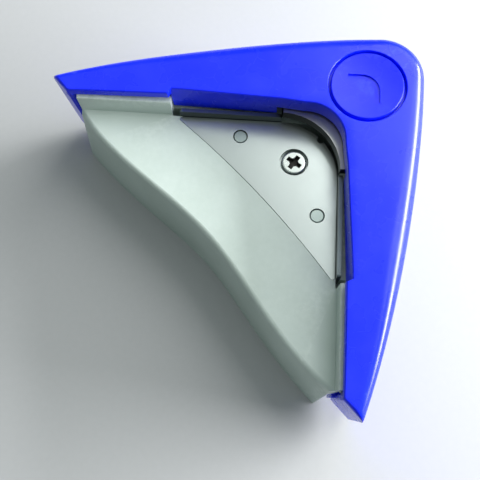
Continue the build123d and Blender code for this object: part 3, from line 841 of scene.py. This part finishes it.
# %% Details of the lever
CLAW_X = (-0.1, 1.6)
CLAW_SPAN = (52.9, 56.2)
CLAW_Z = (FOOT_Z + 0.05, 11.5)
CATCH_X = (11.6, 14.9)
CATCH_Y = (-3.4, 0.4)
CATCH_Z = (6.8, 8.35)
PIN_R = 1.01
BORE_START = EAR_FACE - 1.0
PUSHER_AT = Vector((5.2, 5.2))
BOSS = [(3.4, 21.2), (3.4, 22.4), (3.8, 23.3)]
STUD_BORE = [(2.05, 15.0), (2.05, 22.5)]
SEAT_RIM = [(0.0, -SEAT_DEPTH), (0.0, -0.28), (0.06, -0.12), (0.2, 0.0), (0.35, 0.15)]
LEVER_WELD = 2e-4


def hinge_bore(v_from, v_to):
    """Round bar along the hinge line, between two distances across the bisector."""
    bar = turned("bore", Vector((0.0, 0.0)), [(PIN_R, v_from), (PIN_R, v_to)], 48)
    turn = HINGE_AXIS.to_track_quat("Z", "Y").to_matrix().to_4x4()
    bar.data.transform(Matrix.Translation(HINGE / MM) @ turn)
    return bar


def add_details(skin):
    """Claws, catches, disc seat with its boss, and bores for the hinge pins."""
    for points in both_arms(box_points(CLAW_X, (-CLAW_SPAN[1], -CLAW_SPAN[0]))):
        combine(skin, prism("claw", points, *CLAW_Z), "UNION")
    for points in both_arms(box_points(CATCH_X, CATCH_Y)):
        combine(skin, prism("catch", points, *CATCH_Z), "UNION")
    combine(skin, turned("boss", PUSHER_AT, BOSS, 64), "UNION")
    combine(skin, turned("stud_bore", PUSHER_AT, STUD_BORE, 64), "DIFFERENCE")
    rim = [(SEAT_R + wider, TOP_Z + higher) for wider, higher in SEAT_RIM]
    combine(skin, turned("seat", DISC_AT, rim), "DIFFERENCE")
    for v_from, v_to in ((BORE_START, FAR_OUT), (-FAR_OUT, -BORE_START)):
        combine(skin, hinge_bore(v_from, v_to), "DIFFERENCE")


def to_rest(piece):
    """Tilts a level piece about the hinge line to its rest place, in metres."""
    hinge = HINGE / MM
    tilt = (Matrix.Translation(hinge) @ Matrix.Rotation(REST_TILT, 4, HINGE_AXIS)
            @ Matrix.Translation(-hinge))
    piece.data.transform(Matrix.Scale(MM, 4) @ tilt)


def smooth(piece, degrees=32.0):
    """Smooth shading with the edges sharper than an angle left crisp."""
    piece.data.shade_smooth()
    piece.data.set_sharp_from_angle(angle=math.radians(degrees))


def stand_for(piece, body, slot, material, *nodes):
    """A finished piece takes its finish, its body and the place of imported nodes."""
    piece.data.materials.clear()
    piece.data.materials.append(material)
    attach(piece, body)
    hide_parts(*nodes)


def edge_uses(mesh):
    """How many faces use each edge."""
    uses = {}
    for face in mesh.polygons:
        for key in face.edge_keys:
            uses[key] = uses.get(key, 0) + 1
    return uses.values()


def open_edges(piece):
    """How many edges are not shared by exactly two faces: 0 on a closed mesh."""
    return sum(1 for uses in edge_uses(piece.data) if uses != 2)


def make_lever():
    """The whole lever: skin, hollow and details, cleaned, tilted and finished."""
    lever = swept_skin()
    hollow_out(lever)
    add_details(lever)
    turn_outward(lever, LEVER_WELD, close=True)
    to_rest(lever)
    smooth(lever)
    stand_for(lever, "lever", "blue_plastic", LEVER_BLUE, "lever_shell")
    print("press lever:", len(lever.data.polygons), "faces,", open_edges(lever), "open edges")


make_lever()

# %% [markdown]
# ## Return springs
# Two small compression springs push the punch up again. Each is round wire wound in a helix,
# with its end coils closed up so that it sits flat. A screw modifier could wind it, but can't
# close the ends. A node tree can: a row of points is lifted and turned by a rule that slows
# the climb near both ends, and a round profile follows it. The tree's inputs are the number of
# turns, the two radii and the height, so one tree serves for both springs.


# %% Helpers for node trees
def start_tree(name, inputs):
    """Geometry tree with float inputs, a material input and one mesh output."""
    tree = bpy.data.node_groups.new(name, "GeometryNodeTree")
    for label, default in inputs.items():
        socket = tree.interface.new_socket(label, in_out="INPUT", socket_type="NodeSocketFloat")
        socket.default_value = default
    tree.interface.new_socket("Material", in_out="INPUT", socket_type="NodeSocketMaterial")
    tree.interface.new_socket("Geometry", in_out="OUTPUT", socket_type="NodeSocketGeometry")
    return tree, tree.nodes.new("NodeGroupInput"), tree.nodes.new("NodeGroupOutput")


def finish_tree(tree, start, end, geometry):
    """Ends a tree: instances made real and the material set."""
    real = tree.nodes.new("GeometryNodeRealizeInstances")
    paint = tree.nodes.new("GeometryNodeSetMaterial")
    tree.links.new(geometry, real.inputs[0])
    tree.links.new(real.outputs[0], paint.inputs["Geometry"])
    tree.links.new(start.outputs["Material"], paint.inputs["Material"])
    tree.links.new(paint.outputs[0], end.inputs[0])


def grown(name, tree, material, **values):
    """Plain mesh object from a tree run with its own values. Sizes are in metres."""
    source = add_object(name + "_source", bpy.data.meshes.new(name + "_source"))
    modifier = source.modifiers.new("tree", "NODES")
    modifier.node_group = tree
    sockets = {item.name: item.identifier for item in tree.interface.items_tree
               if item.item_type == "SOCKET" and item.in_out == "INPUT"}
    for key, value in values.items():
        modifier[sockets[key.replace("_", " ")]] = value
    modifier[sockets["Material"]] = material
    graph = bpy.context.evaluated_depsgraph_get()
    mesh = bpy.data.meshes.new_from_object(source.evaluated_get(graph))
    bpy.data.objects.remove(source)
    return add_object(name, mesh)


def joined(name, pieces):
    """One mesh from several plain mesh objects."""
    work = bmesh.new()
    for piece in pieces:
        work.from_mesh(piece.data)
    mesh = bpy.data.meshes.new(name)
    work.to_mesh(mesh)
    work.free()
    for piece in pieces:
        bpy.data.objects.remove(piece)
    return add_object(name, mesh)


def round_axis(tree, geometry, angle, radius, height):
    """Puts every point at its own angle, radius and height about the upright axis."""
    place = tree.nodes.new("ShaderNodeCombineXYZ")
    for index, operation in enumerate(("COSINE", "SINE")):
        swing = math_node(tree, "MULTIPLY", math_node(tree, operation, angle), radius)
        tree.links.new(swing, place.inputs[index])
    tree.links.new(height, place.inputs[2])
    move = tree.nodes.new("GeometryNodeSetPosition")
    tree.links.new(geometry, move.inputs["Geometry"])
    tree.links.new(place.outputs[0], move.inputs["Position"])
    return move.outputs[0]


# %% Coil spring tree
COIL_POINTS = 241
CLOSED_PITCH = 2.05
CLOSED_HEIGHT = 6.1


def coil_spring_tree():
    """Helix with closed ends: the climb is slow over the first and the last turn."""
    tree, start, end = start_tree("coil_spring", {"Turns": 6.0, "Coil Radius": 0.0026,
                                                  "Wire Radius": 0.0003, "Height": 0.008})
    calc = partial(math_node, tree)
    turns, coil_r, wire_r, full_height = start.outputs[:4]
    line = tree.nodes.new("GeometryNodeMeshLine")
    line.inputs["Count"].default_value = COIL_POINTS
    index = tree.nodes.new("GeometryNodeInputIndex").outputs[0]
    turned_by = calc("MULTIPLY", calc("DIVIDE", index, COIL_POINTS - 1.0), turns)
    angle = calc("MULTIPLY", turned_by, 2.0 * math.pi)
    closed = calc("MULTIPLY", wire_r, CLOSED_PITCH)
    free = calc("SUBTRACT", full_height, calc("MULTIPLY", wire_r, CLOSED_HEIGHT))
    first = calc("MULTIPLY", calc("MINIMUM", turned_by, 1.0), closed)
    left = calc("SUBTRACT", turned_by, calc("SUBTRACT", turns, 1.0))
    last = calc("MULTIPLY", calc("MAXIMUM", left, 0.0), closed)
    middle = calc("DIVIDE", calc("SUBTRACT", turned_by, 1.0), calc("SUBTRACT", turns, 2.0), True)
    climb = calc("MULTIPLY", middle, free)
    height = calc("ADD", calc("ADD", calc("ADD", first, last), climb), wire_r)
    curve = tree.nodes.new("GeometryNodeMeshToCurve")
    helix = round_axis(tree, line.outputs[0], angle, coil_r, height)
    tree.links.new(helix, curve.inputs[0])
    profile = node(tree, "GeometryNodeCurvePrimitiveCircle", Resolution=12)
    tree.links.new(wire_r, profile.inputs["Radius"])
    tube = tree.nodes.new("GeometryNodeCurveToMesh")
    tube.inputs["Fill Caps"].default_value = True
    tree.links.new(curve.outputs[0], tube.inputs["Curve"])
    tree.links.new(profile.outputs[0], tube.inputs["Profile Curve"])
    finish_tree(tree, start, end, tube.outputs[0])
    return tree


# %% Return springs
POST_AT = {"right": (5.3, -8.4), "left": (-8.4, 5.3)}
WELL_FLOOR_Z = 5.0
CARRIER_LOW_Z = 13.0
SPRING_TURNS = 6.0
COIL_R = 2.6
WIRE_R = 0.3
END_ROOM = 0.03
FINE_WELD = 1e-8


def make_springs():
    """One spring round each guide post, standing on the well's floor under the carrier."""
    tree = coil_spring_tree()
    height = CARRIER_LOW_Z - WELL_FLOOR_Z - 2 * END_ROOM
    for side, at in POST_AT.items():
        spring = grown("coil_spring_" + side, tree, SPRING_WIRE, Turns=SPRING_TURNS,
                       Coil_Radius=COIL_R * MM, Wire_Radius=WIRE_R * MM, Height=height * MM)
        foot = Vector((at[0], at[1], WELL_FLOOR_Z + END_ROOM)) * MM
        spring.data.transform(Matrix.Translation(foot))
        turn_outward(spring, FINE_WELD)
        smooth(spring, 60.0)
        stand_for(spring, "base", "spring_steel", SPRING_WIRE, "return_spring_" + side)
        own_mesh(spring)
        print(spring.name, len(spring.data.polygons), "faces")


make_springs()

# %% [markdown]
# ## Small screws
# Three countersunk screws hold the bottom cover and two hold the punch to its carrier. Each
# has a cone under a flat head with a cross recess, and a rolled thread. The thread is a ridge
# that winds round the shank: in a tree it is one grid, whose rows are turned round the axis
# and whose radius rises and falls with a sawtooth of the height and the angle together. The
# cross is cut afterwards, because a boolean keeps its edges crisp.


# %% Screw tree
ROWS, SIDES = 170, 48
POINT_SHARE = 0.35


def screw_tree():
    """Head, cone and threaded shank of a countersunk screw, head up, top at the origin."""
    tree, start, end = start_tree("countersunk_screw", {
        "Head Radius": 0.0023, "Rim": 0.00025, "Cone": 0.00105, "Shank Radius": 0.001,
        "Thread Depth": 0.00014, "Pitch": 0.0006, "Length": 0.007})
    calc = partial(math_node, tree)
    head_r, rim, cone, shank_r, depth, pitch, length = start.outputs[:7]
    grid = tree.nodes.new("GeometryNodeMeshGrid")
    for name, value in (("Size X", 1.0), ("Size Y", 1.0), ("Vertices X", ROWS),
                        ("Vertices Y", SIDES + 1)):
        grid.inputs[name].default_value = value
    index = tree.nodes.new("GeometryNodeInputIndex").outputs[0]
    row = calc("FLOOR", calc("DIVIDE", index, SIDES + 1.0))
    turned_by = calc("DIVIDE", calc("MODULO", index, SIDES + 1.0), float(SIDES))
    down = calc("MULTIPLY", calc("DIVIDE", row, ROWS - 1.0), length)
    cone_share = calc("DIVIDE", calc("SUBTRACT", down, rim), cone, True)
    step = calc("SUBTRACT", head_r, shank_r)
    body = calc("SUBTRACT", head_r, calc("MULTIPLY", cone_share, step))
    grip = calc("DIVIDE", calc("SUBTRACT", down, calc("ADD", rim, cone)), pitch, True)
    phase = calc("FRACT", calc("ADD", turned_by, calc("DIVIDE", down, pitch)))
    tooth = calc("MULTIPLY", calc("ABSOLUTE", calc("SUBTRACT", phase, 0.5)), 2.0)
    radius = calc("SUBTRACT", body, calc("MULTIPLY", tooth, calc("MULTIPLY", depth, grip)))
    point = calc("DIVIDE", calc("SUBTRACT", length, down), shank_r, True)
    blunt = calc("ADD", calc("MULTIPLY", point, 1.0 - POINT_SHARE), POINT_SHARE)
    radius = calc("MULTIPLY", radius, blunt)
    angle = calc("MULTIPLY", turned_by, 2.0 * math.pi)
    rod = round_axis(tree, grid.outputs[0], angle, radius, calc("MULTIPLY", down, -1.0))
    weld = tree.nodes.new("GeometryNodeMergeByDistance")
    weld.inputs["Distance"].default_value = 1e-7
    tree.links.new(rod, weld.inputs["Geometry"])
    finish_tree(tree, start, end, weld.outputs[0])
    return tree


# %% Screws
COVER_SCREWS_AT = [(-44.0, -4.0), (-4.0, -44.0), (-17.0, -17.0)]
BLADE_SCREWS_AT = [(5.3, -2.4), (-2.4, 5.3)]
COVER_HEADS_Z = 0.1
BLADE_HEADS_Z = 22.15
CROSS_WIDTH, CROSS_DEPTH = 2.5, 0.9
FIRST_TURN, NEXT_TURN = 20.0, 37.0


def cut_cross(piece, width, depth, turn_degrees):
    """Cross recess in the top of a screw whose head is at the origin, sizes in millimetres."""
    for extra in (0.0, 90.0):
        slot = prism("slot", box_points((-width / 2, width / 2), (-0.15 * width, 0.15 * width)),
                     -depth, 1.0)
        slot.data.transform(Matrix.Rotation(math.radians(turn_degrees + extra), 4, "Z"))
        combine(piece, slot, "DIFFERENCE")


def screw_set(name, tree, places, top_z, upward, body, slot, **sizes):
    """Screws of one size in their places, one mesh, heads up or down."""
    made = []
    for number, at in enumerate(places):
        screw = grown(f"{name}_{number}", tree, SCREW_ZINC,
                      **{label: size * MM for label, size in sizes.items()})
        screw.data.transform(Matrix.Scale(1.0 / MM, 4))
        turn_outward(screw, FINE_WELD, close=True)
        cut_cross(screw, CROSS_WIDTH, CROSS_DEPTH, FIRST_TURN + NEXT_TURN * number)
        turn = Matrix() if upward else Matrix.Rotation(math.pi, 4, "X")
        place = Matrix.Translation(Vector((at[0], at[1], top_z)))
        screw.data.transform(Matrix.Scale(MM, 4) @ place @ turn)
        made.append(screw)
    whole = joined(name, made)
    smooth(whole, 40.0)
    stand_for(whole, body, "zinc_screw", SCREW_ZINC, slot)
    print(name, len(places), "screws,", len(whole.data.polygons), "faces,",
          open_edges(whole), "open edges")


def make_screws():
    """Both sets of screws, from one tree."""
    tree = screw_tree()
    screw_set("cover_screw_set", tree, COVER_SCREWS_AT, COVER_HEADS_Z, False, "base",
              "cover_screws", Head_Radius=2.25, Rim=0.2, Cone=1.05, Shank_Radius=0.95,
              Thread_Depth=0.14, Pitch=0.7, Length=7.4)
    screw_set("blade_screw_set", tree, BLADE_SCREWS_AT, BLADE_HEADS_Z, True, "punch",
              "blade_screws", Head_Radius=2.3, Rim=0.2, Cone=1.1, Shank_Radius=1.0,
              Thread_Depth=0.14, Pitch=0.6, Length=7.15)


make_screws()

# %% [markdown]
# ## Floor
# A plain pale sheet under the tool, wide enough to fill the picture from any side.


# %% Floor
def make_floor():
    """A square pale sheet under the tool."""
    mesh = bpy.data.meshes.new("floor")
    half = 1.5
    corners = [(-half, -half, 0), (half, -half, 0), (half, half, 0), (-half, half, 0)]
    mesh.from_pydata(corners, [], [(0, 1, 2, 3)])
    floor = add_object("floor", mesh)
    material, tree, shader, place = start_material("pale_sheet")
    fibres = noise_node(tree, place, 700.0, 4.0, 0.6)
    tree.links.new(mix_colours(tree, fibres, (0.43, 0.44, 0.45), (0.46, 0.47, 0.48)),
                   shader.inputs["Base Color"])
    shader.inputs["Roughness"].default_value = 0.75
    mesh.materials.append(material)
    print("floor is", 2 * half, "m wide")


make_floor()
